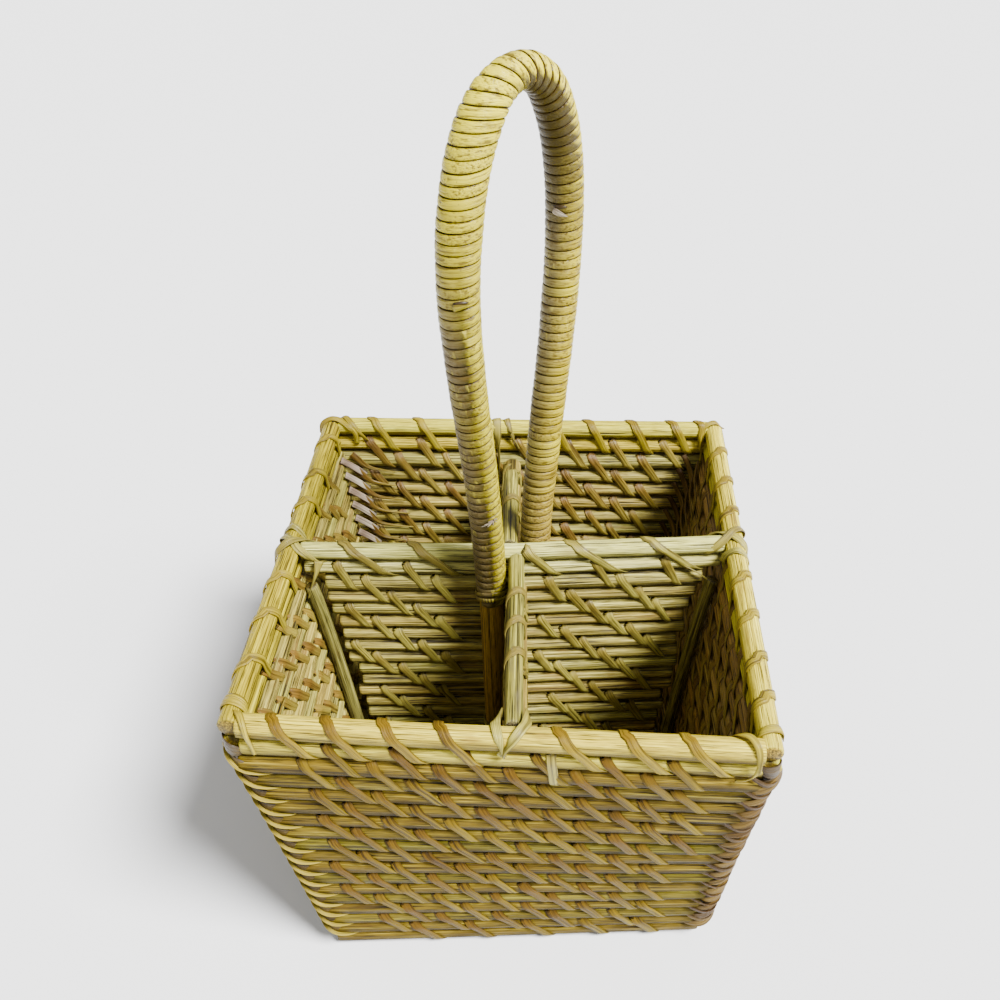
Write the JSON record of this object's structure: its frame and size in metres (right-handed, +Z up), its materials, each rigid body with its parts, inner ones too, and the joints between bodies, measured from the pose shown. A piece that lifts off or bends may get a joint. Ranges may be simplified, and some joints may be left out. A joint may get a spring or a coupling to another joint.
{
  "type": "basket caddy",
  "caption": "Square tapered tub of laced reeds, split into open compartments by crossed dividers, with a tall cane-wound hoop handle rising from the middle.",
  "frame": {"origin": "middle of the floor's underside, on the surface that the basket stands on", "axes": "+Z up through the handle, +X to the right and -Y to the front of the basket as pictured"},
  "size_m": [0.2244, 0.224, 0.3858],
  "materials": {
    "rim_reed": "dried reed, satin, straw yellow with long grain",
    "wall_reed": "dried reed, matt, straw to olive with brown streaks",
    "green_reed": "dried reed, dark olive green, matt",
    "cane_strip": "flat split cane, tan to brown with pale edges, satin",
    "handle_cane": "flat split cane, glossy yellow-tan with grey patches",
    "pole": "bent pole, orange-brown, worn satin"
  },
  "bodies": {
    "root": {"base_rod_back": "rim_reed", "base_rod_front": "rim_reed", "base_rod_left": "rim_reed", "base_rod_right": "rim_reed", "corner_lacing_back_left": "cane_strip", "corner_lacing_back_right": "cane_strip", "corner_lacing_front_left": "cane_strip", "corner_lacing_front_right": "cane_strip", "cross_divider": "wall_reed", "cross_divider_binding_left": "cane_strip", "cross_divider_binding_right": "cane_strip", "cross_divider_top_rod": "rim_reed", "cross_divider_under_rod": "rim_reed", "divider_post_left": "green_reed", "divider_post_right": "green_reed", "floor_mat": "wall_reed", "front_partition": "wall_reed", "front_partition_binding": "cane_strip", "front_partition_top_rod": "rim_reed", "front_partition_under_rod": "rim_reed", "handle_pole": "pole", "handle_tie_lower": "cane_strip", "handle_tie_upper": "cane_strip", "handle_winding": "handle_cane", "joint_tie_back": "cane_strip", "joint_tie_front": "cane_strip", "joint_tie_left": "cane_strip", "joint_tie_right": "cane_strip", "rear_partition": "wall_reed", "rear_partition_binding": "cane_strip", "rear_partition_top_rod": "rim_reed", "rear_partition_under_rod": "rim_reed", "rim_binding_back_left": "cane_strip", "rim_binding_back_right": "cane_strip", "rim_binding_front_left": "cane_strip", "rim_binding_front_right": "cane_strip", "rim_binding_left_back": "cane_strip", "rim_binding_left_front": "cane_strip", "rim_binding_right_back": "cane_strip", "rim_binding_right_front": "cane_strip", "rim_rod_back": "rim_reed", "rim_rod_front": "rim_reed", "rim_rod_left": "rim_reed", "rim_rod_right": "rim_reed", "rim_under_rod_back": "rim_reed", "rim_under_rod_front": "rim_reed", "rim_under_rod_left": "rim_reed", "rim_under_rod_right": "rim_reed", "wall_back": "wall_reed", "wall_front": "wall_reed", "wall_left": "wall_reed", "wall_right": "wall_reed"}
  },
  "joints": []
}
